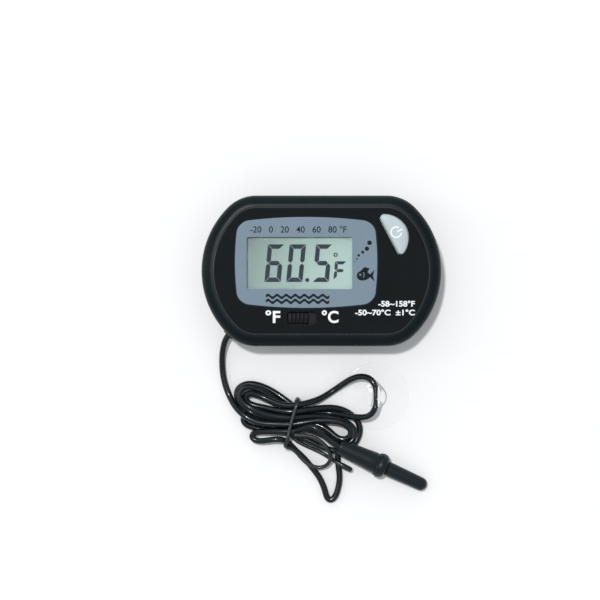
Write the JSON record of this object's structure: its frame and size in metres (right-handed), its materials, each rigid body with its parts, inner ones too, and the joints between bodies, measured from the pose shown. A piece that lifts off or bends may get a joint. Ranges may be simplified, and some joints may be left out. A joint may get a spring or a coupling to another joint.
{
  "type": "digital aquarium thermometer",
  "caption": "Battery digital thermometer for an aquarium: display housing with a thin wired probe, bundled lead and a clear suction cup on the lead.",
  "frame": {"origin": "centre of the underside of the housing, which lies on its back", "axes": "+X to the right along the housing, +Y up the display, +Z out of the display"},
  "size_m": [0.073, 0.0947, 0.0176],
  "materials": {
    "black_housing": "fine satin moulded ABS",
    "label_film": "printed matt film",
    "clear_window": "clear polished acrylic",
    "display_glass": "display glass with grey-green polariser",
    "display_reflector": "satin reflector film",
    "contact_rubber": "striped conductive elastomer",
    "board": "solder mask on glass fibre",
    "epoxy": "cured epoxy",
    "component": "ceramic",
    "grey_button": "satin",
    "silicone": "soft matt",
    "black_knob": "satin",
    "steel": "plated",
    "spring_brass": "sprung strip",
    "lead_pvc": "glossy soft PVC jacket",
    "core_red": "PVC insulation",
    "core_black": "PVC insulation",
    "tie_wire": "plastic coated wire",
    "clear_pvc": "clear soft PVC",
    "probe_plastic": "satin moulded plastic"
  },
  "bodies": {
    "housing": {"front_cover": "black_housing", "rear_cover": "black_housing", "label_plate": "label_film", "window_lens": "clear_window", "lcd_front_glass": "display_glass", "lcd_rear_glass": "display_glass", "lcd_reflector": "display_reflector", "zebra_strip": "contact_rubber", "circuit_board": "board", "chip_blob": "epoxy", "thermistor": "epoxy", "capacitor_1": "component", "capacitor_2": "component", "resistor_1": "component", "resistor_2": "component", "contact_dome": "silicone", "battery": "steel", "crystal": "steel", "unit_switch_base": "steel", "case_screw_1": "steel", "case_screw_2": "steel", "case_screw_3": "steel", "case_screw_4": "steel", "board_screw_1": "steel", "board_screw_2": "steel", "battery_clip_positive": "spring_brass", "battery_spring_negative": "spring_brass", "lead_grommet": "lead_pvc", "lead_inner": "lead_pvc", "lead_in_probe": "lead_pvc", "lead_run": "lead_pvc", "lead_cup_run": "lead_pvc", "lead_v_run": "lead_pvc", "lead_probe_run": "lead_pvc", "lead_hank": "lead_pvc", "core_red": "core_red", "probe_core_red": "core_red", "core_black": "core_black", "probe_core_black": "core_black", "twist_tie": "tie_wire", "probe_barrel": "probe_plastic", "probe_nose": "probe_plastic"},
    "power_button": {"power_button": "grey_button"},
    "unit_switch": {"unit_switch_knob": "black_knob"},
    "battery_door": {"battery_door": "black_housing"},
    "suction_cup": {"suction_cup": "clear_pvc"}
  },
  "joints": [
    {"name": "power_button_press", "type": "slide", "parent": "housing", "child": "power_button", "axis": [0, 0, -1], "range_m": [0, 0.0006], "stiffness_N_per_m": 800, "deforming": ["contact_dome"]},
    {"name": "unit_switch_slide", "type": "slide", "parent": "housing", "child": "unit_switch", "axis": [1, 0, 0], "range_m": [0, 0.002]},
    {"name": "battery_door_turn", "type": "hinge", "parent": "housing", "child": "battery_door", "pos_m": [0.008, -0.001, 0.0011], "axis": [0, 0, -1], "range_deg": [0, 50]},
    {"name": "suction_cup_swivel", "type": "hinge", "parent": "housing", "child": "suction_cup", "pos_m": [0.01663, -0.03851, 0.0063], "axis": [0, -1, 0], "range_deg": [0, 60]}
  ]
}
